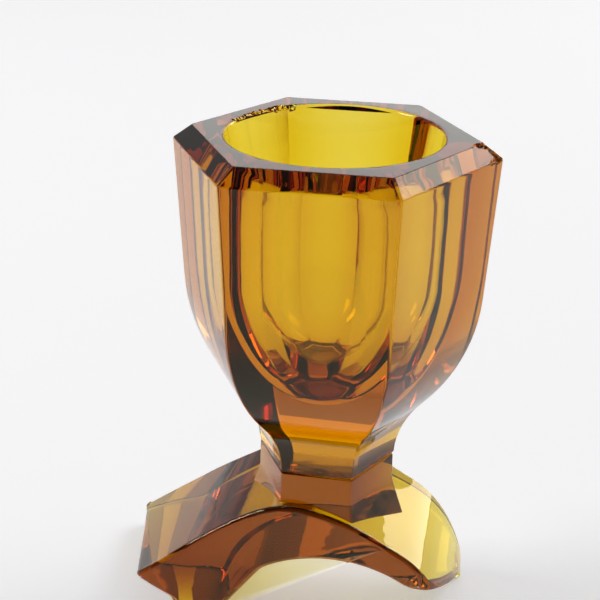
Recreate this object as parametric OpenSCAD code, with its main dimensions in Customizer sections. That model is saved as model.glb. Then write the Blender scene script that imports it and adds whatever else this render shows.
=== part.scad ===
// Pressed glass candlestick: six-sided tulip socket on an arched foot.
// Millimetres, +Z up. Origin: middle of the bounding box on the table plane.
// The socket's axis stands at x = axis_x.

/* [Socket] */
// height of the whole candlestick above the table
total_h = 64.9; // [55:0.1:80]
// corner radius of the six-sided rim, at the foot of its chamfer
rim_r = 19.3; // [15:0.1:25]
// corner radius of the flat top face, inside the chamfer
top_r = 16.95; // [13:0.05:23]
// height of the chamfer round the rim
chamfer_h = 1.7; // [0.5:0.1:4]
// corner radius where the straight wall ends and the belly starts
shoulder_r = 18.4; // [14:0.1:24]
// depth of that point below the top face
shoulder_drop = 19.2; // [12:0.1:26]
// radius of the belly curve, seen at a corner
belly_arc = 23; // [15:0.5:35]
// radius of the hollow curve from the belly into the neck
neck_arc = 11.4; // [6:0.1:20]
// steepest inward lean of the wall, between belly and neck
waist_lean = 44; // [30:1:55]

/* [Candle bore] */
// diameter of the mouth in the top face
mouth_d = 25.3; // [22:0.1:30]
// diameter of the straight wall that guides the candle
bore_d = 23.6; // [20:0.1:26]
// depth at which the straight wall starts
guide_top = 5; // [2:0.5:8]
// length of the straight wall
guide_len = 11; // [6:0.5:18]
// depth of the rounded bottom below the top face
bore_depth = 29.8; // [22:0.1:34]
// softened edge at the mouth
mouth_ease = 0.35; // [0.1:0.05:1]

/* [Seam] */
// thickness of the joint layer between socket and foot
seam_t = 0.35; // [0.1:0.05:0.6]
// how far the joint layer stays inside the glass
seam_inset = 0.25; // [0.1:0.05:1]

/* [Foot] */
// corner radius of the six-sided pedestal under the seam
pedestal_r = 8.7; // [7:0.05:11]
// length of the pedestal's straight part
pedestal_h = 3; // [1:0.1:5]
// slope at which the pedestal spreads into the arch
flare_slope = 72; // [45:1:75]
// half width of the arch under the pedestal
arch_half_w = 9.12; // [7:0.05:14]
// half width of the arch at the heel
heel_half_w = 10.6; // [7:0.05:16]
// radius of the round opening under the arch
opening_r = 17.3; // [12:0.1:20]
// distance of the opening's centre from the socket axis
opening_off = 2.5; // [0:0.1:6]
// height of the opening's crown above the table
opening_h = 12.1; // [8:0.05:16]
// radius of the opening where it turns down into the toe
toe_in_r = 9.5; // [6:0.1:14]
// slope of the cut that lifts the toe's front corner
toe_cut = 26; // [10:0.1:40]
// height of that cut at the front side of the arch
toe_lift = 9.3; // [4:0.1:12]
// where the toe lands on the table, behind the middle plane
toe_land = 6.6; // [2:0.1:8]
// rounding of the toe's front corner, seen from above
toe_round = 2.4; // [1:0.1:5]
// lean of the heel's cut end below the horizontal
heel_lean = 53.75; // [30:0.25:80]
// turn of the heel's cut end about the vertical
heel_turn = 25.9; // [0:0.1:40]
// height of the upright pad under the heel's cut end
heel_pad = 3.4; // [1:0.1:5]

/* [Colour] */
// amber of the glass, red share
amber_r = 0.72; // [0:0.01:1]
// amber of the glass, green share
amber_g = 0.42; // [0:0.01:1]
// amber of the glass, blue share
amber_b = 0.05; // [0:0.01:1]

/* [Hidden] */
axis_x = 4.5;
steps = 7;
big = 80;
cos30 = cos(30);

// wall of the socket: [depth below the top face, corner radius]
lean0 = atan((rim_r - shoulder_r) / (shoulder_drop - chamfer_h));
arc1_d = belly_arc * (sin(waist_lean) - sin(lean0));
arc1_w = belly_arc * (cos(lean0) - cos(waist_lean));
lean2 = 3;
arc2_d = neck_arc * (sin(waist_lean) - sin(lean2));
arc2_w = neck_arc * (cos(lean2) - cos(waist_lean));
neck_d = shoulder_drop + arc1_d + arc2_d;
neck_r = shoulder_r - arc1_w - arc2_w;
seam_z = total_h - neck_d - 0.2;
function lerp(a, b, t) = a + (b - a) * t;
belly = [for (i = [0:14]) let(a = lerp(lean0, waist_lean, i / 14))
    [shoulder_drop + belly_arc * (sin(a) - sin(lean0)),
     shoulder_r - belly_arc * (cos(lean0) - cos(a))]];
waist = [for (i = [1:10]) let(a = lerp(waist_lean, lean2, i / 10))
    [shoulder_drop + arc1_d + neck_arc * (sin(waist_lean) - sin(a)),
     shoulder_r - arc1_w - neck_arc * (cos(a) - cos(waist_lean))]];
wall = concat([[0, top_r], [chamfer_h, rim_r]], belly, waist,
              [[total_h - seam_z - seam_t / 2, neck_r - 0.05]]);

// pedestal: [height, corner radius], from the seam down into the arch
ped_top = seam_z - seam_t / 2;
ped_mid = ped_top - pedestal_h;
flare_low = 10.5;
flare_turn = 1.6;
function flare_at(z) = let(d = ped_mid - z, a = min(1, d / flare_turn))
    pedestal_r + 0.05 + (d < flare_turn ? a * a * flare_turn / 2 : d - flare_turn / 2) / tan(flare_slope);
pedestal = concat([[ped_top, pedestal_r], [ped_mid, pedestal_r + 0.05]],
    [for (i = [1:5]) let(z = ped_mid - flare_turn * i / 5) [z, flare_at(z)]],
    [[flare_low, flare_at(flare_low)]]);

// outer line of the arch, heel to toe: [x, height]
back = [[-28.3, 0], [-26, 1.6], [-23.7, 3.4], [-20, 6.1], [-16, 9], [-12, 12.1],
        [-8, 14.9], [-4, 17.4], [-1, 18.8], [2, 19.2], [6, 18.5], [10, 17.1],
        [14, 14.9], [17, 13], [19.4, 10.4], [21.2, 7.3], [22.4, 4.2], [22.9, 1.8], [23, 0], [23, -2]];
function cr(p0, p1, p2, p3, t) = 0.5 * ((2 * p1) + (p2 - p0) * t
    + (2 * p0 - 5 * p1 + 4 * p2 - p3) * t * t + (3 * p1 - p0 - 3 * p2 + p3) * t * t * t);
outer_line = concat([for (i = [1:len(back) - 3], k = [0:steps - 1])
    cr(back[i - 1], back[i], back[i + 1], back[i + 2], k / steps)], [back[len(back) - 2]]);

// round opening, toe to heel
open_x = axis_x + opening_off;
open_z = opening_h - opening_r;
turn_a = 53;
toe_cx = open_x + (opening_r - toe_in_r) * cos(turn_a);
toe_cz = open_z + (opening_r - toe_in_r) * sin(turn_a);
inner_line = concat(
    [for (i = [0:9]) let(a = lerp(-8, turn_a, i / 10))
        [toe_cx + toe_in_r * cos(a), toe_cz + toe_in_r * sin(a)]],
    [for (i = [0:26]) let(a = lerp(turn_a, 163, i / 26))
        [open_x + opening_r * cos(a), open_z + opening_r * sin(a)]]);

// outline of the arch from above, half width growing towards the heel
function half_w(x) = let(t = max(0, min(1, (-x - 4.5) / 14)))
    lerp(arch_half_w, heel_half_w, t * t * (3 - 2 * t));
side_xs = [for (i = [0:12]) lerp(-32, -4, i / 12)];
front_side = [for (x = side_xs) [x, -half_w(x)]];
rear_side = [for (i = [12:-1:0]) [side_xs[i], half_w(side_xs[i])]];
corner_x = 20.2;
toe_corner = [for (i = [0:6]) let(a = -90 + 90 * i / 6)
    [corner_x - toe_round + toe_round * cos(a), -arch_half_w + toe_round + toe_round * sin(a)]];
top_outline = concat(front_side, toe_corner,
    [[23.5, -arch_half_w + toe_round + 7], [23.6, arch_half_w - 1.2], [22.4, arch_half_w]], rear_side);

// where the heel's leaning cut comes down to the pad, on the front side
heel_x = -18.45 + (6.76 - heel_pad) * tan(heel_lean) / cos(heel_turn);

// underside of the toe across the arch: [across, height]
toe_y = toe_land - 2;
toe_z = toe_lift - (toe_y + arch_half_w) * tan(toe_cut);
toe_line = concat([[-14, -5], [-14, toe_lift + (14 - arch_half_w) * tan(toe_cut)]],
    [for (i = [0:6]) let(a = 90 * i / 6)
        [toe_y + 2 * sin(a), toe_z * cos(a)]], [[toe_land, -5]]);

// six-sided body with curved faces, from a list of [height, corner radius]
module hex_body(line, x0) {
    n = len(line);
    half = [for (p = line) [p[1] * cos30, p[0]]];
    back_half = [for (i = [n - 1:-1:0]) [-line[i][1] * cos30, line[i][0]]];
    translate([x0, 0, 0])
        intersection() {
            for_face(0, half, back_half);
            for_face(60, half, back_half);
            for_face(120, half, back_half);
        }
}

module for_face(turn, half, back_half) {
    rotate([0, 0, turn + 90])
        rotate([90, 0, 0])
            translate([0, 0, -big / 2])
                linear_extrude(height = big)
                    polygon(concat(half, back_half));
}

module bore() {
    r0 = mouth_d / 2;
    r1 = bore_d / 2;
    bowl_d = bore_depth - guide_top - guide_len;
    translate([axis_x, 0, total_h - guide_top - guide_len])
        cylinder(h = guide_len, r = r1, $fn = 96);
    translate([axis_x, 0, total_h - guide_top])
        cylinder(h = guide_top - mouth_ease, r1 = r1, r2 = r0, $fn = 96);
    translate([axis_x, 0, total_h - mouth_ease])
        cylinder(h = mouth_ease + 0.01, r1 = r0, r2 = r0 + mouth_ease, $fn = 96);
    translate([axis_x, 0, total_h - guide_top - guide_len])
        rotate_extrude($fn = 96)
            polygon(concat([[0, 0.001]], [for (i = [0:12]) let(a = 90 * i / 12)
                [r1 * cos(a), 0.001 - bowl_d * sin(a)]]));
}

module socket() {
    line = [for (p = wall) [total_h - p[0], p[1]]];
    color([amber_r, amber_g, amber_b, 0.35])
        difference() {
            hex_body(line, axis_x);
            bore();
        }
}

module seam_layer() {
    r = min(pedestal_r, neck_r) - seam_inset;
    color([0.12, 0.06, 0.02])
        translate([axis_x, 0, seam_z - seam_t / 2])
            cylinder(h = seam_t, r = r, $fn = 6);
}

// everything above the round opening, seen from the side
module above_opening() {
    rotate([90, 0, 0])
        translate([0, 0, -big / 2])
            linear_extrude(height = big)
                polygon(concat([[-40, 60], [40, 60], [40, -1], [21.2, -1]], inner_line, [[-9.6, -1], [-40, -1]]));
}

module arch_body() {
    rotate([90, 0, 0])
        translate([0, 0, -big / 2])
            linear_extrude(height = big)
                polygon(concat(outer_line, [[23, -1], [-26, -1]]));
}

module arch_foot() {
    color([amber_r, amber_g, amber_b, 0.35])
        difference() {
            intersection() {
                union() {
                    arch_body();
                    hex_body(pedestal, axis_x);
                }
                above_opening();
                linear_extrude(height = 30)
                    polygon(top_outline);
            }
            // heel end: leaning cut above, upright pad below
            intersection() {
                translate([-18.45, -10.56, 6.76])
                    rotate([0, heel_lean, 180 + heel_turn])
                        translate([0, -big / 2, -big / 2])
                            cube([big, big, big]);
                translate([-big, -big / 2, heel_pad])
                    cube([big, big, big]);
            }
            translate([heel_x, -10.56, -1])
                rotate([0, 0, 180 + heel_turn])
                    translate([0, -big / 2, 0])
                        cube([big, big, heel_pad + 1.001]);
            // toe's lifted front corner
            translate([16, 0, 0])
                rotate([90, 0, 90])
                    linear_extrude(height = 12)
                        polygon(toe_line);
            // table plane
            translate([-big, -big, -20])
                cube([2 * big, 2 * big, 20]);
        }
}

socket();
seam_layer();
arch_foot();
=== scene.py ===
"""Looks of the pressed-glass candlestick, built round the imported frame.

Shapes are worked out in millimetres, +Z up, and turned into metres where a mesh is made.
"""

import math

import bmesh
import bpy
import numpy as np
from mathutils import Matrix, Vector, noise


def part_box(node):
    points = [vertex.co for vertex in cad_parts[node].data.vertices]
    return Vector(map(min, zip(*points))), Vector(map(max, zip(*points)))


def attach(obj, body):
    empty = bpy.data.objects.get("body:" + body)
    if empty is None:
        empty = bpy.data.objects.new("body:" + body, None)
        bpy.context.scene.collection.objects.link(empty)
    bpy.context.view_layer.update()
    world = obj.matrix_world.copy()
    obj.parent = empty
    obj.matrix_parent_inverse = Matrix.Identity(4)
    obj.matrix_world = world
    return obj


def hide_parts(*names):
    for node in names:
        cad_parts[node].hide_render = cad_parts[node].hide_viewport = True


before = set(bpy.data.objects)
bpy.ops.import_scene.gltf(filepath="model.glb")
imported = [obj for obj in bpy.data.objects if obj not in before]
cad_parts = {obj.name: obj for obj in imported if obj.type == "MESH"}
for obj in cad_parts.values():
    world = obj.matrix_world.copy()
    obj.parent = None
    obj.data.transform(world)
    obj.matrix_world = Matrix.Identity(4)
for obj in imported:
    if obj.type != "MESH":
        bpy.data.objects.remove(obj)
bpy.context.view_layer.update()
MM = 0.001

# ---------------------------------------------------------------- places from the frame
sock_lo, sock_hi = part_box("socket")
seam_lo, seam_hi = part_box("seam_layer")
AXIS_X = (sock_lo.x + sock_hi.x) / 2 / MM
TOP_Z = sock_hi.z / MM
NECK_Z = sock_lo.z / MM
PEDESTAL_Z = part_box("arch_foot")[1].z / MM
RIM_R = (sock_hi.x - sock_lo.x) / 2 / MM
SEAM_R = (seam_hi.x - seam_lo.x) / 2 / MM

# ---------------------------------------------------------------- sizes, in millimetres
# socket: radii are measured to the corners of the hexagon
TOP_R = 16.95
CHAMFER_H = 1.7
SHOULDER_R, SHOULDER_DROP = 18.4, 19.2
BELLY_ARC, NECK_ARC = 23.0, 11.4
WAIST_LEAN, NECK_LEAN = math.radians(44), math.radians(3)
# candle bore
MOUTH_R, BORE_R = 12.65, 11.8
GUIDE_TOP, GUIDE_LEN = 5.0, 11.0
BORE_DEPTH = 29.8
# pedestal
PEDESTAL_R = 8.7
PEDESTAL_H = 3.0
FLARE_SLOPE = math.radians(72)
FLARE_TURN = 1.6
FLARE_LOW_Z = 13.0
# arch: outer line from heel to toe, as (x, height)
BACK = [(-28.3, 0), (-26, 1.6), (-23.7, 3.4), (-20, 6.1), (-16, 9), (-12, 12.1), (-8, 14.9), (-4, 17.4),
        (-1, 18.8), (2, 19.2), (6, 18.5), (10, 17.1), (14, 14.9), (17, 13), (19.4, 10.4), (21.2, 7.3),
        (22.4, 4.2), (22.9, 1.8), (23, 0), (23, -2)]
HALF_W, HEEL_HALF_W = 9.12, 10.6
OPENING_R, OPENING_X, OPENING_H = 17.3, AXIS_X + 2.5, 12.1
TOE_IN_R = 9.5
TOE_TURN = 53
# toe: end line seen from above, as (across, x), and the cut that lifts its front corner
TOE_END = [(-9.12, 18.5), (-8.6, 19.3), (-8.0, 19.9), (-5.8, 20.8), (-3.0, 21.6), (1.3, 22.4), (5.2, 22.85),
           (7.6, 22.9), (8.6, 22.7), (9.12, 22.3)]
TOE_TIP_X = 22.9
TOE_CUT = math.radians(26)
TOE_LIFT = 9.3
TOE_LAND = 6.6
TOE_BEND = 2.0
# heel: a point on the leaning cut, and the height of the upright pad under it
HEEL_POINT = np.array((-18.45, -10.56, 6.76))
HEEL_LEAN, HEEL_TURN = math.radians(53.75), math.radians(25.9)
HEEL_PAD = 3.4
# rounding of the arch's long edges
EDGE = 0.6
# the joint layer wets both glasses
BITE = 0.02


# ---------------------------------------------------------------- small geometry helpers
def lerp(a, b, t):
    return a + (b - a) * t


def smooth(t):
    t = min(1.0, max(0.0, t))
    return t * t * (3 - 2 * t)


def fillet(points, radii, segments=4):
    """The open line of 2-D points with each inner corner i rounded to radii[i]."""
    out = [np.array(points[0], float)]
    for i in range(1, len(points) - 1):
        p, a, b = (np.array(points[k], float) for k in (i, i - 1, i + 1))
        u, w = a - p, b - p
        lu, lw = np.linalg.norm(u), np.linalg.norm(w)
        u, w = u / lu, w / lw
        half = math.acos(max(-1, min(1, float(u @ w)))) / 2
        if radii[i] <= 0 or half > math.radians(88):
            out.append(p)
            continue
        d = min(radii[i] / math.tan(half), 0.45 * lu, 0.45 * lw)
        p0, p2 = p + u * d, p + w * d
        for k in range(segments + 1):
            t = k / segments
            out.append(p0 * (1 - t) ** 2 + p * 2 * t * (1 - t) + p2 * t * t)
    out.append(np.array(points[-1], float))
    return out


def catmull(points, steps):
    """A smooth curve through all points but the first and the last."""
    out = []
    for i in range(1, len(points) - 2):
        p0, p1, p2, p3 = (np.array(points[i + k], float) for k in (-1, 0, 1, 2))
        for k in range(steps):
            t = k / steps
            out.append(
                0.5 * (2 * p1 + (p2 - p0) * t + (2 * p0 - 5 * p1 + 4 * p2 - p3) * t * t
                       + (3 * p1 - p0 - 3 * p2 + p3) * t ** 3)
            )
    out.append(np.array(points[-2], float))
    return out


def resample(line, n):
    """n points at equal distances along the line, both ends kept."""
    line = np.array(line, float)
    d = np.r_[0, np.cumsum(np.linalg.norm(np.diff(line, axis=0), axis=1))]
    s = np.linspace(0, d[-1], n)
    return np.stack([np.interp(s, d, line[:, k]) for k in range(line.shape[1])], 1)


def relax(ring, rounds):
    """Rounds the corners of a closed line by blending each point with its neighbours."""
    out = ring.copy()
    for _ in range(rounds):
        out = 0.5 * out + 0.25 * (np.roll(out, 1, 0) + np.roll(out, -1, 0))
    return out


def inward(ring, d):
    """The closed line moved inwards by d, along its own normals."""
    t = np.roll(ring, -1, 0) - np.roll(ring, 1, 0)
    t = t / np.maximum(np.linalg.norm(t, axis=1, keepdims=True), 1e-9)
    n = np.stack([t[:, 1], -t[:, 0]], 1)
    area = 0.5 * np.sum(ring[:, 0] * np.roll(ring[:, 1], -1) - np.roll(ring[:, 0], -1) * ring[:, 1])
    sign = -1.0 if area > 0 else 1.0
    return ring + n * sign * d


def hex_ring(radius, corner, side_n=9, arc_n=5):
    """Points of a regular hexagon with corners at 0, 60, ... degrees, each corner rounded."""
    corner = min(corner, radius * 0.4)
    c = radius - corner / math.sin(math.radians(60))
    pts = []
    for k in range(6):
        a = math.radians(60 * k)
        cx, cy = c * math.cos(a), c * math.sin(a)
        turns = [a + math.radians(lerp(-30, 30, i / arc_n)) for i in range(arc_n + 1)]
        arc = [(cx + corner * math.cos(t), cy + corner * math.sin(t)) for t in turns]
        pts += arc
        b = math.radians(60 * (k + 1))
        nx = c * math.cos(b) + corner * math.cos(b - math.radians(30))
        ny = c * math.sin(b) + corner * math.sin(b - math.radians(30))
        x0, y0 = arc[-1]
        steps = [i / (side_n + 1) for i in range(1, side_n + 1)]
        pts += [(lerp(x0, nx, t), lerp(y0, ny, t)) for t in steps]
    return np.array(pts)


def round_ring(radius, like):
    """A circle whose points stand at the same angles as those of another ring."""
    a = np.arctan2(like[:, 1], like[:, 0])
    return np.stack([radius * np.cos(a), radius * np.sin(a)], 1)


def at(ring, z):
    """The flat ring moved onto the socket's axis, at height z."""
    return np.stack([ring[:, 0] + AXIS_X, ring[:, 1], np.full(len(ring), z)], 1)


# ---------------------------------------------------------------- meshes
def add_object(name, me):
    ob = bpy.data.objects.new(name, me)
    bpy.context.scene.collection.objects.link(ob)
    return ob


def mesh_from(name, verts, faces):
    me = bpy.data.meshes.new(name)
    me.from_pydata([tuple(v) for v in verts], [], faces)
    me.validate()
    bm = bmesh.new()
    bm.from_mesh(me)
    bmesh.ops.remove_doubles(bm, verts=bm.verts, dist=1e-6)
    bmesh.ops.dissolve_degenerate(bm, edges=bm.edges, dist=1e-7)
    bmesh.ops.recalc_face_normals(bm, faces=bm.faces)
    bm.to_mesh(me)
    bm.free()
    return add_object(name, me)


def skin(rings):
    """Vertices in metres and the quads between neighbouring rings of equal length."""
    n = len(rings[0])
    verts = [tuple(p * MM) for r in rings for p in r]
    faces = []
    for i in range(len(rings) - 1):
        for k in range(n):
            a, b = i * n + k, i * n + (k + 1) % n
            faces.append((a, b, b + n, a + n))
    return verts, faces


def loft(name, rings):
    """A closed solid from rings, with a fan of triangles at either end."""
    n = len(rings[0])
    verts, faces = skin(rings)
    for i in (0, len(rings) - 1):
        m = len(verts)
        verts.append(tuple(np.mean(rings[i], axis=0) * MM))
        faces += [(i * n + k, i * n + (k + 1) % n, m) for k in range(n)]
    return mesh_from(name, verts, faces)


def band_solid(name, rings, split):
    """A closed solid from slices. Each side face is a ladder between points before and after split."""
    n = len(rings[0])
    verts, faces = skin(rings)
    for i in (0, len(rings) - 1):
        ring = rings[i]
        upper = list(range(0, split))
        lower = [0] + list(range(n - 1, split - 2, -1))
        a = b = 0
        while a < len(upper) - 1 or b < len(lower) - 1:
            here_a, here_b = upper[a], lower[b]
            next_a = upper[a + 1] if a < len(upper) - 1 else None
            next_b = lower[b + 1] if b < len(lower) - 1 else None
            if next_b is None:
                step_a = True
            elif next_a is None:
                step_a = False
            else:
                rung_a = np.linalg.norm(ring[next_a] - ring[here_b])
                rung_b = np.linalg.norm(ring[next_b] - ring[here_a])
                step_a = rung_a < rung_b
            tri = (here_a, next_a, here_b) if step_a else (here_a, next_b, here_b)
            if len(set(tri)) == 3:
                faces.append(tuple(i * n + k for k in tri))
            if step_a:
                a += 1
            else:
                b += 1
    return mesh_from(name, verts, faces)


def shade(ob, angle):
    """Smooth shading that keeps edges sharper than the angle, in degrees."""
    for p in ob.data.polygons:
        p.use_smooth = True
    ob.data.set_sharp_from_angle(angle=math.radians(angle))
    m = ob.modifiers.new("weighted", "WEIGHTED_NORMAL")
    m.keep_sharp = True
    m.weight = 60


def boolean(ob, tool, operation, use_self=False):
    """Applies an exact boolean to the object and removes the tool."""
    m = ob.modifiers.new("boolean", "BOOLEAN")
    m.operation = operation
    m.solver = "EXACT"
    m.use_self = use_self
    m.object = tool
    bpy.context.view_layer.update()
    dg = bpy.context.evaluated_depsgraph_get()
    me = bpy.data.meshes.new_from_object(ob.evaluated_get(dg))
    ob.modifiers.clear()
    ob.data = me
    bpy.data.objects.remove(tool)


# ---------------------------------------------------------------- socket
def socket_wall():
    """Outside of the socket from neck to rim, as (corner radius, height)."""
    lean = math.atan((RIM_R - SHOULDER_R) / (SHOULDER_DROP - CHAMFER_H))
    wall = [(RIM_R, TOP_Z - CHAMFER_H)]
    for i in range(1, 8):
        wall.append((lerp(RIM_R, SHOULDER_R, i / 8), TOP_Z - lerp(CHAMFER_H, SHOULDER_DROP, i / 8)))
    for i in range(13):
        a = lerp(lean, WAIST_LEAN, i / 12)
        wall.append((SHOULDER_R - BELLY_ARC * (math.cos(lean) - math.cos(a)),
                     TOP_Z - SHOULDER_DROP - BELLY_ARC * (math.sin(a) - math.sin(lean))))
    waist_r = SHOULDER_R - BELLY_ARC * (math.cos(lean) - math.cos(WAIST_LEAN))
    waist_drop = SHOULDER_DROP + BELLY_ARC * (math.sin(WAIST_LEAN) - math.sin(lean))
    for i in range(1, 9):
        a = lerp(WAIST_LEAN, NECK_LEAN, i / 8)
        wall.append((waist_r - NECK_ARC * (math.cos(a) - math.cos(WAIST_LEAN)),
                     TOP_Z - waist_drop - NECK_ARC * (math.sin(WAIST_LEAN) - math.sin(a))))
    return [(wall[-1][0] - 0.05, NECK_Z)] + wall[::-1]


def bore_wall():
    """Inside of the bore from its eased mouth to the rounded bottom, as (radius, height)."""
    ease = 0.36
    line = [(MOUTH_R + 0.42, TOP_Z), (MOUTH_R + 0.22, TOP_Z - 0.04), (MOUTH_R + 0.07, TOP_Z - 0.16),
            (MOUTH_R, TOP_Z - ease)]
    line += [(lerp(MOUTH_R, BORE_R, i / 4), TOP_Z - lerp(ease, GUIDE_TOP, i / 4)) for i in range(1, 5)]
    line += [(BORE_R, TOP_Z - GUIDE_TOP - GUIDE_LEN * i / 4) for i in range(1, 5)]
    bowl = BORE_DEPTH - GUIDE_TOP - GUIDE_LEN
    for i in range(1, 20):
        a = math.radians(90 * i / 20)
        line.append((BORE_R * math.cos(a), TOP_Z - GUIDE_TOP - GUIDE_LEN - bowl * math.sin(a)))
    return line


def make_socket():
    outer = socket_wall()
    profile = [(0.0, NECK_Z)] + outer + [(TOP_R, TOP_Z), (MOUTH_R + 0.3, TOP_Z)]
    radii = [0, 0.3] + [0] * (len(outer) - 2) + [0.35, 0.3, 0]
    hex_line = fillet(profile, radii)[1:-1]
    rings = [at(hex_ring(r, lerp(0.35, 0.55, smooth((r - 8) / 8))), z) for r, z in hex_line]
    # the top face turns from hexagon to circle
    like = hex_ring(10, 0.5)
    last = hex_ring(hex_line[-1][0], 0.5)
    bore = bore_wall()
    mouth = round_ring(bore[0][0], like)
    rings += [at(last * (1 - i / 6) + mouth * (i / 6), TOP_Z) for i in range(1, 6)]
    rings += [at(round_ring(r, like), z) for r, z in bore]
    ob = loft("socket_glass", rings)
    # the middle of the bowl goes down to its full depth
    low = Vector((AXIS_X * MM, 0, (TOP_Z - BORE_DEPTH) * MM))
    pole = min(ob.data.vertices, key=lambda v: (v.co - low).length_squared)
    pole.co.z = low.z
    return ob


rng = np.random.default_rng(7)


def bore_flakes(start, stop, count, past_edge, height, size, flat):
    """Spots along the bore's edge between two angles, each as (x, y, z, radius, flatness)."""
    spots = []
    for a in np.linspace(start, stop, count):
        a = math.radians(a + rng.uniform(-1, 1))
        r = MOUTH_R + rng.uniform(*past_edge)
        spots.append((AXIS_X + r * math.cos(a), r * math.sin(a), TOP_Z + rng.uniform(*height),
                      rng.uniform(*size), flat))
    return spots


def corner_flakes():
    """Spots on the rim's right corner: down its chamfer, then along the chamfer's lower edge."""
    spots = []
    for t in np.linspace(0, 1, 6):
        spots.append((AXIS_X + lerp(16.4, 19.2, t), rng.uniform(-1.3, 0.2),
                      TOP_Z - lerp(-0.1, 1.6, t) + 0.1, rng.uniform(0.6, 0.9), 0.8))
    for t in np.linspace(0.1, 1, 6):
        spots.append((AXIS_X + 19.1 - 1.1 * t, -1.9 * t + rng.uniform(-0.1, 0.1),
                      TOP_Z - CHAMFER_H + rng.uniform(-0.05, 0.2), rng.uniform(0.3, 0.5), 0.8))
    return spots


def nicks(name, spots):
    """Small rough blobs, one at each spot, to be cut out of the glass."""
    bm = bmesh.new()
    for x, y, z, r, flat in spots:
        got = bmesh.ops.create_icosphere(bm, subdivisions=2, radius=r * MM)
        turn = Matrix.Rotation(rng.uniform(0, 6.28), 4, Vector(rng.normal(size=3)).normalized())
        for v in got["verts"]:
            n = noise.noise(v.co / (r * MM) * 1.7 + Vector((x, y, z)))
            v.co = turn @ (v.co * (1 + 0.4 * n))
            v.co.z *= flat
            v.co += Vector((x, y, z)) * MM
    me = bpy.data.meshes.new(name)
    bm.to_mesh(me)
    bm.free()
    return add_object(name, me)


socket = make_socket()
flakes = bore_flakes(122, 138, 9, (0.1, 0.55), (-0.35, 0.1), (0.35, 0.62), 0.8)
flakes += bore_flakes(141, 166, 11, (0.0, 0.35), (-0.3, 0.1), (0.25, 0.4), 0.7)
flakes += corner_flakes()
boolean(socket, nicks("nicks", flakes), "DIFFERENCE", use_self=True)
shade(socket, 35)

# ---------------------------------------------------------------- foot: one profile for each slice across
OUTER_N = 110
outer_line = np.array(catmull(BACK, 8))
opening_z = OPENING_H - OPENING_R
heel_normal = np.array((-math.cos(HEEL_LEAN) * math.cos(HEEL_TURN), -math.cos(HEEL_LEAN) * math.sin(HEEL_TURN),
                        -math.sin(HEEL_LEAN)))


def opening_line():
    """Outline of the opening under the arch, from the toe to the heel."""
    turn = math.radians(TOE_TURN)
    cx = OPENING_X + (OPENING_R - TOE_IN_R) * math.cos(turn)
    cz = opening_z + (OPENING_R - TOE_IN_R) * math.sin(turn)
    line = [(cx + TOE_IN_R * math.cos(a), cz + TOE_IN_R * math.sin(a))
            for a in np.radians(np.linspace(-8, TOE_TURN, 16))[:-1]]
    line += [(OPENING_X + OPENING_R * math.cos(a), opening_z + OPENING_R * math.sin(a))
             for a in np.radians(np.linspace(TOE_TURN, 163, 60))]
    return np.array(line)


inner_line = opening_line()


def half_w(x):
    """Half width of the arch, which grows towards the heel."""
    return lerp(HALF_W, HEEL_HALF_W, smooth((-x - 4.5) / 14))


def toe_under(y):
    """Height of the toe's underside: a slanting cut that bends down to where the toe lands."""
    bend_y = TOE_LAND - TOE_BEND
    if y < bend_y:
        return TOE_LIFT - (y + HALF_W) * math.tan(TOE_CUT)
    if y < TOE_LAND:
        bend_z = TOE_LIFT - (bend_y + HALF_W) * math.tan(TOE_CUT)
        return bend_z * math.sqrt(max(0.0, 1 - ((y - bend_y) / TOE_BEND) ** 2))
    return 0.0


def past_heel_cut(p, v):
    """Distance of an outline point outside the heel's leaning cut, at v of the half width."""
    return float((np.array((p[0], v * half_w(p[0]), p[1])) - HEEL_POINT) @ heel_normal)


def profile_at(v):
    """The closed (x, z) outline of the foot at v of its half width, with a fixed number of points."""
    # the outer line starts on the heel's leaning cut
    k = 0
    for i in range(len(outer_line) - 1):
        if past_heel_cut(outer_line[i], v) <= 0:
            k = i
            break
    a, b = outer_line[max(k - 1, 0)], outer_line[k]
    fa, fb = past_heel_cut(a, v), past_heel_cut(b, v)
    t = 0.0 if fa == fb else fa / (fa - fb)
    start = a + (b - a) * min(1, max(0, t))
    # where the cut meets the pad
    across = (v * half_w(start[0]) - HEEL_POINT[1]) * heel_normal[1]
    down = (HEEL_PAD - HEEL_POINT[2]) * heel_normal[2]
    x_pad = max(HEEL_POINT[0] - (across + down) / heel_normal[0], start[0] + 0.02)
    z_pad = min(HEEL_PAD, start[1] - 0.05)
    # the outer line ends at the toe's end line, or at its underside if that comes first
    x_end = float(np.interp(v * HALF_W, [p[0] for p in TOE_END], [p[1] for p in TOE_END]))
    z_under = toe_under(v * HALF_W)
    top = [start] + [p for p in outer_line[k:] if p[0] < x_end - 0.05 and p[1] > z_under + 0.1]
    z_end = float(np.interp(x_end, outer_line[:, 0], outer_line[:, 1]))
    if x_end >= TOE_TIP_X or z_end < z_under:
        z_end = z_under + 0.1
        x_end = min(x_end, [p for p in outer_line if p[1] > z_end and p[0] > 10][-1][0])
    end_top, end_low = np.array((x_end, z_end)), np.array((x_end, z_under))
    # the inner line starts where it rises above the toe's underside
    x_in = float(np.interp(z_under, inner_line[:20, 1], inner_line[:20, 0]))
    heel_in = np.array((OPENING_X - math.sqrt(OPENING_R ** 2 - opening_z ** 2), 0.0))
    inner = [np.array((x_in, z_under))] + [p for p in inner_line if p[1] > z_under + 0.02] + [heel_in]
    pieces = [
        resample(top + [end_top], OUTER_N),
        resample([end_top, end_low], 10),
        resample([end_low, inner[0]], 8),
        resample(inner, 96),
        resample([heel_in, (x_pad, 0.0)], 12),
        resample([(x_pad, 0.0), (x_pad, z_pad)], 8),
        resample([(x_pad, z_pad), start], 14),
    ]
    return np.concatenate([p[:-1] for p in pieces])


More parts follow.
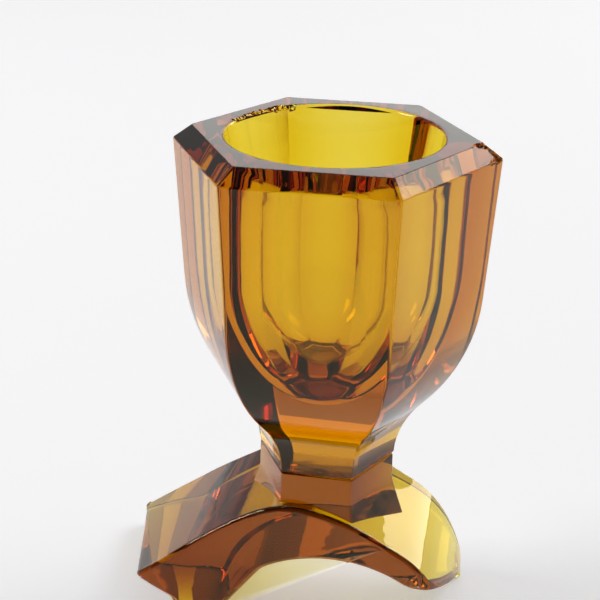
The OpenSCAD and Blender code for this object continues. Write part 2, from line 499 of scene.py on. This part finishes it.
def foot_slice(v, inset, side):
    """The outline at v of the half width, moved in by inset and back from the side face by side."""
    line = relax(profile_at(v), 4)
    if inset > 0:
        line = inward(line, inset)
    y = np.array([v * half_w(x) - math.copysign(side, v) for x in line[:, 0]])
    return np.stack([line[:, 0], y, np.maximum(line[:, 1], 0.0)], 1)


def make_arch():
    edge = [(EDGE * (1 - math.cos(p)), EDGE * (1 - math.sin(p))) for p in np.radians([90, 68, 45, 22, 0])]
    rings = [foot_slice(-1, inset, side) for inset, side in edge]
    rings += [foot_slice(v, 0.0, 0.0) for v in np.linspace(-0.94, 0.94, 39)]
    rings += [foot_slice(1, inset, side) for inset, side in edge[::-1]]
    return band_solid("foot_glass", rings, OUTER_N)


def flare_r(z):
    """Corner radius of the spreading pedestal at height z."""
    d = PEDESTAL_Z - PEDESTAL_H - z
    run = 0.0
    if d > 0:
        run = d * d / (2 * FLARE_TURN) if d < FLARE_TURN else d - FLARE_TURN / 2
    return PEDESTAL_R + 0.05 + run / math.tan(FLARE_SLOPE)


def make_pedestal():
    line = [(PEDESTAL_R - 0.25, PEDESTAL_Z), (PEDESTAL_R - 0.07, PEDESTAL_Z - 0.07),
            (PEDESTAL_R, PEDESTAL_Z - 0.25)]
    line += [(flare_r(z), z) for z in np.linspace(PEDESTAL_Z - PEDESTAL_H, FLARE_LOW_Z, 16)]
    rings = [at(hex_ring(r, 0.4, 6, 5), z) for r, z in line]
    for ring in rings:
        ring[:, 1] = np.clip(ring[:, 1], -HALF_W + 0.3, HALF_W - 0.3)
    return loft("pedestal_part", rings)


foot = make_arch()
boolean(foot, make_pedestal(), "UNION")
shade(foot, 30)


# ---------------------------------------------------------------- joint layer
def make_seam():
    z0, z1 = seam_lo.z / MM, seam_hi.z / MM
    line = [(SEAM_R - 0.08, z0 - BITE), (SEAM_R, lerp(z0, z1, 0.3)), (SEAM_R, lerp(z0, z1, 0.7)),
            (SEAM_R - 0.08, z1 + BITE)]
    return loft("seam_ring", [at(hex_ring(r, 0.4), z) for r, z in line])


seam = make_seam()
shade(seam, 40)


# ---------------------------------------------------------------- materials
def map_range(tree, value, source, target, curve="LINEAR"):
    """A Map Range node that takes the value from the source range to the target range."""
    node = tree.nodes.new("ShaderNodeMapRange")
    node.interpolation_type = curve
    names = ("From Min", "From Max", "To Min", "To Max")
    for name, number in zip(names, (*source, *target)):
        node.inputs[name].default_value = number
    tree.links.new(value, node.inputs["Value"])
    return node.outputs["Result"]


def noise_value(tree, scale):
    """Noise in the object's own space."""
    coord = tree.nodes.new("ShaderNodeTexCoord")
    node = tree.nodes.new("ShaderNodeTexNoise")
    node.inputs["Scale"].default_value = scale
    node.inputs["Detail"].default_value = 2.0
    tree.links.new(coord.outputs["Object"], node.inputs["Vector"])
    return node.outputs["Fac"]


def glass(name, tint, density, rough, wave):
    """Clear glass that takes its colour from the depth the light goes through."""
    material = bpy.data.materials.new(name)
    material.use_nodes = True
    tree = material.node_tree
    tree.nodes.clear()
    out = tree.nodes.new("ShaderNodeOutputMaterial")
    bsdf = tree.nodes.new("ShaderNodeBsdfPrincipled")
    bsdf.inputs["Base Color"].default_value = (1.0, 0.985, 0.95, 1)
    bsdf.inputs["IOR"].default_value = 1.52
    bsdf.inputs["Specular Tint"].default_value = (1.0, 0.85, 0.6, 1)
    bsdf.inputs["Transmission Weight"].default_value = 1.0
    # faint unevenness of a fire-polished pressing
    bump = tree.nodes.new("ShaderNodeBump")
    bump.inputs["Strength"].default_value = wave
    bump.inputs["Distance"].default_value = 0.0006
    tree.links.new(noise_value(tree, 130), bump.inputs["Height"])
    tree.links.new(bump.outputs["Normal"], bsdf.inputs["Normal"])
    # handling marks: a little roughness that comes and goes
    marks = map_range(tree, noise_value(tree, 260), (0.45, 0.8), (rough * 0.4, rough * 2.0))
    tree.links.new(marks, bsdf.inputs["Roughness"])
    depth = tree.nodes.new("ShaderNodeVolumeAbsorption")
    depth.inputs["Color"].default_value = (*tint, 1)
    depth.inputs["Density"].default_value = density
    tree.links.new(bsdf.outputs["BSDF"], out.inputs["Surface"])
    tree.links.new(depth.outputs["Volume"], out.inputs["Volume"])
    return material


amber = glass("amber_glass", (0.953, 0.868, 0.02), 610.0, 0.005, 0.08)
# The foot's amber absorbs over twice as strongly as the socket's. It is a darker copy of the same glass:
# painted shade that stands for the dim surroundings darkening the arch and heel.
amber_foot_shaded = glass("amber_glass_foot", (0.951, 0.894, 0.02), 1380.0, 0.006, 0.10)
bond = glass("seam_bond", (0.5, 0.24, 0.05), 2000.0, 0.05, 0.3)

for ob, material, node, slot in (
    (socket, amber, "socket", "amber_glass"),
    (foot, amber_foot_shaded, "arch_foot", "amber_glass_foot"),
    (seam, bond, "seam_layer", "seam_bond"),
):
    ob.data.materials.clear()
    ob.data.materials.append(material)
    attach(ob, "root")
    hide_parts(node)


# ---------------------------------------------------------------- floor and room
def make_floor():
    bpy.ops.mesh.primitive_plane_add(size=60, location=(0, 0, 0))
    ob = bpy.context.object
    ob.name = "floor"
    material = bpy.data.materials.new("pale_floor")
    material.use_nodes = True
    tree = material.node_tree
    bsdf = tree.nodes["Principled BSDF"]
    bsdf.inputs["Base Color"].default_value = (0.8, 0.8, 0.81, 1)
    bsdf.inputs["Emission Color"].default_value = (0.98, 0.98, 1.0, 1)
    bsdf.inputs["Roughness"].default_value = 0.9
    bsdf.inputs["Specular IOR Level"].default_value = 0.1
    # the floor's own glow fades towards the front, where the room is dim
    coord = tree.nodes.new("ShaderNodeTexCoord")
    split = tree.nodes.new("ShaderNodeSeparateXYZ")
    tree.links.new(coord.outputs["Object"], split.inputs["Vector"])
    glow = map_range(tree, split.outputs["Y"], (-0.16, -0.01), (0.2, 0.34), "SMOOTHSTEP")
    tree.links.new(glow, bsdf.inputs["Emission Strength"])
    ob.data.materials.append(material)


def make_room():
    world = bpy.data.worlds.new("soft_room")
    bpy.context.scene.world = world
    world.use_nodes = True
    tree = world.node_tree
    background = tree.nodes["Background"]
    coord = tree.nodes.new("ShaderNodeTexCoord")
    split = tree.nodes.new("ShaderNodeSeparateXYZ")
    tree.links.new(coord.outputs["Generated"], split.inputs["Vector"])

    def combine(operation, a, b):
        node = tree.nodes.new("ShaderNodeMath")
        node.operation = operation
        tree.links.new(a, node.inputs[0])
        tree.links.new(b, node.inputs[1])
        return node.outputs["Value"]

    # bright at the back, dim in front and to the left, as in a room with its windows behind
    depth = map_range(tree, split.outputs["Y"], (-0.35, 0.45), (0.05, 1.0), "SMOOTHSTEP")
    side = map_range(tree, split.outputs["X"], (-0.95, 0.25), (0.35, 1.0), "SMOOTHSTEP")
    # a pale skirting just above the floor, so that the horizon is pale from every side
    skirting = map_range(tree, split.outputs["Z"], (0.02, 0.16), (0.75, 0.0), "SMOOTHSTEP")
    room = combine("MULTIPLY", depth, side)
    tree.links.new(combine("MAXIMUM", room, skirting), background.inputs["Color"])
    background.inputs["Strength"].default_value = 0.72


def area(name, place, size, power, colour=(1, 1, 1)):
    """A soft rectangular light, aimed at the middle of the object."""
    data = bpy.data.lights.new(name, "AREA")
    data.shape = "RECTANGLE"
    data.size, data.size_y = size
    data.energy = power
    data.color = colour
    ob = bpy.data.objects.new(name, data)
    bpy.context.scene.collection.objects.link(ob)
    ob.location = place
    ob.rotation_mode = "QUATERNION"
    ob.rotation_quaternion = (Vector((0, 0, 0.04)) - Vector(place)).to_track_quat("-Z", "Y")


def make_camera(place, look, roll, lens):
    data = bpy.data.cameras.new("camera")
    data.sensor_width = 36
    data.lens = lens
    data.clip_start = 0.005
    data.clip_end = 100
    cam = bpy.data.objects.new("camera", data)
    bpy.context.scene.collection.objects.link(cam)
    back = (place - look).normalized()
    level = Vector((0, 0, 1)).cross(back).normalized()
    upright = back.cross(level)
    right = level * math.cos(roll) - upright * math.sin(roll)
    up = upright * math.cos(roll) + level * math.sin(roll)
    turn = Matrix((right, up, back)).transposed()
    cam.matrix_world = Matrix.Translation(place) @ turn.to_4x4()
    bpy.context.scene.camera = cam


make_floor()
make_room()
area("window_back", (-0.15, 0.85, 0.42), (0.6, 0.35), 0.55)
area("window_right", (0.55, 0.42, 0.62), (0.4, 0.4), 2.0)
area("edge_glint", (-0.75, -0.1, 0.58), (0.3, 0.3), 3.4)
area("window_low", (0.53, 0.78, 0.19), (0.16, 0.34), 0.65, (1, 0.96, 0.88))
make_camera(place=Vector((0.0239, -0.1279, 0.10246)), look=Vector((0.00076, 0.0, 0.04355)),
            roll=math.radians(-0.891), lens=69.85)
bpy.context.scene.view_settings.view_transform = "Standard"
